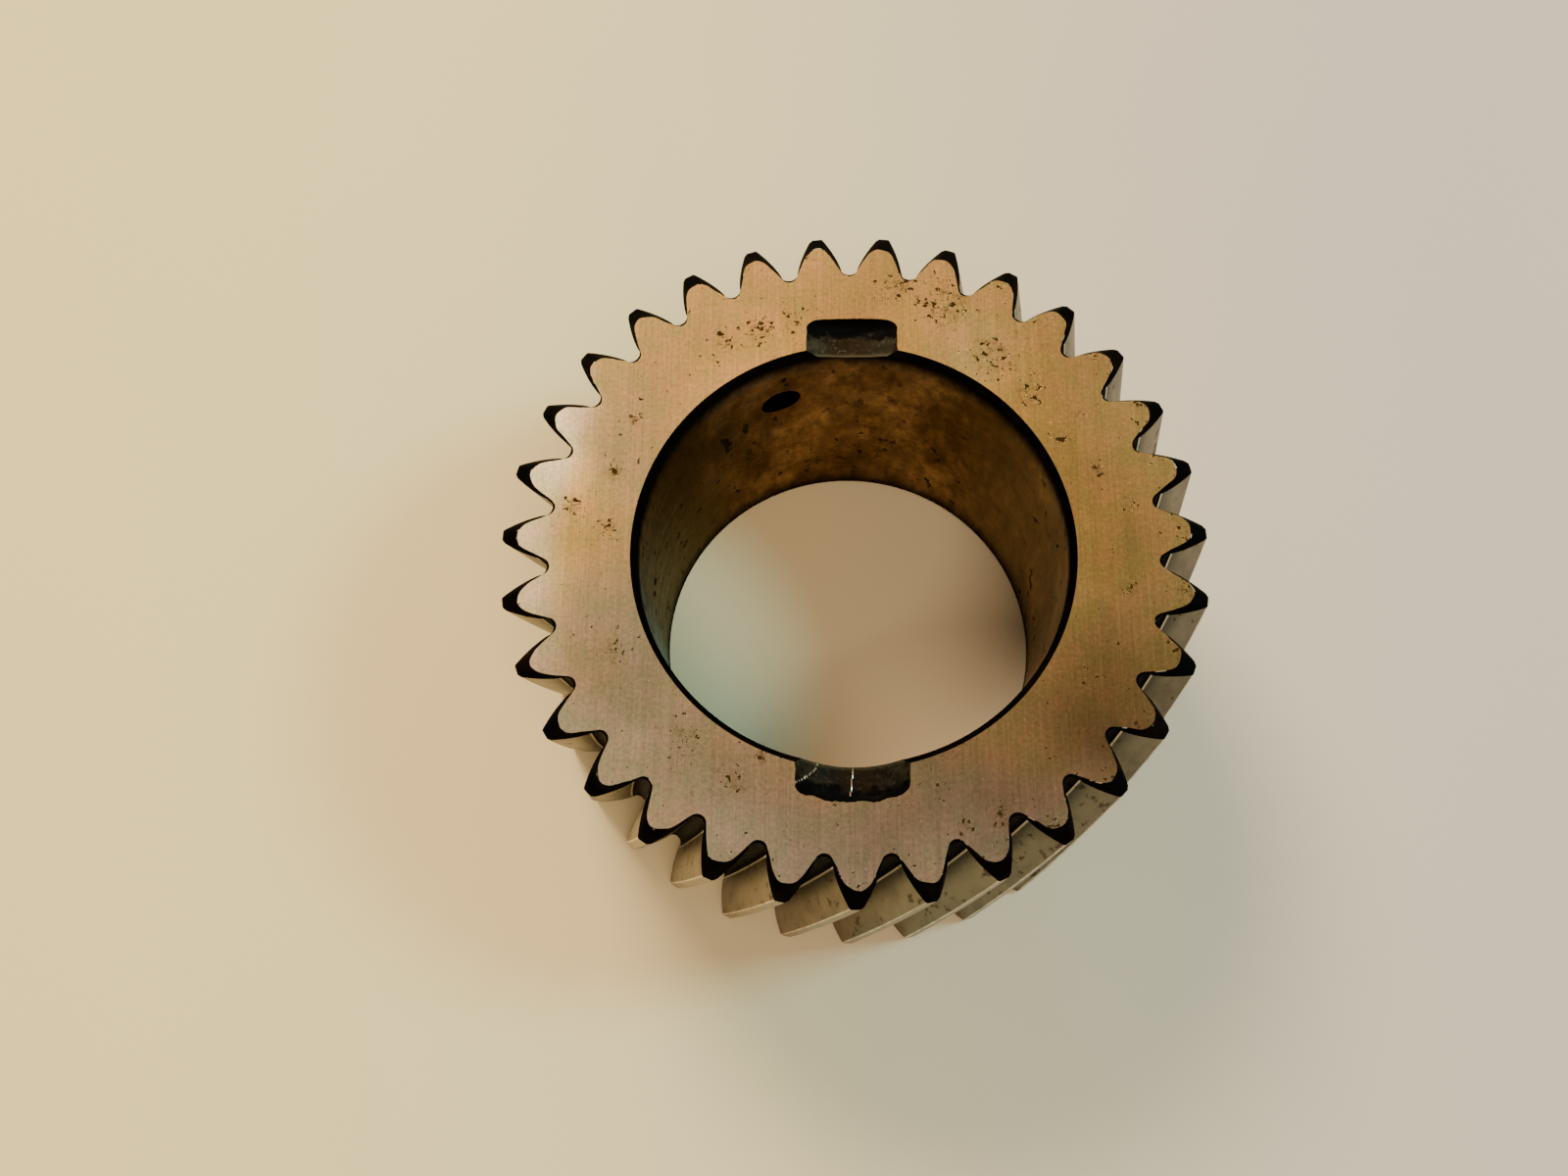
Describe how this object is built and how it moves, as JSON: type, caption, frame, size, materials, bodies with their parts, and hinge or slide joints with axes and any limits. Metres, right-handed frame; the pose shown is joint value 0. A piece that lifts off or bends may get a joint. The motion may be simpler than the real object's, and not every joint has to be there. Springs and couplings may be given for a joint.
{
  "type": "helical gear",
  "caption": "One-piece steel helical gear, right-hand, with a ground bore, shallow slots across its upper edge and a radial oil hole.",
  "frame": {"origin": "on the bore axis, on the lower end face, which has no slots", "axes": "+Z along the bore axis towards the slotted end face, +Y towards the shallower slot, -Y towards the deeper one"},
  "size_m": [0.1176, 0.1176, 0.062],
  "materials": {
    "ground_steel": "satin ground faces, dark unground tooth roots"
  },
  "bodies": {
    "root": {"helical_gear": "ground_steel"}
  },
  "joints": []
}
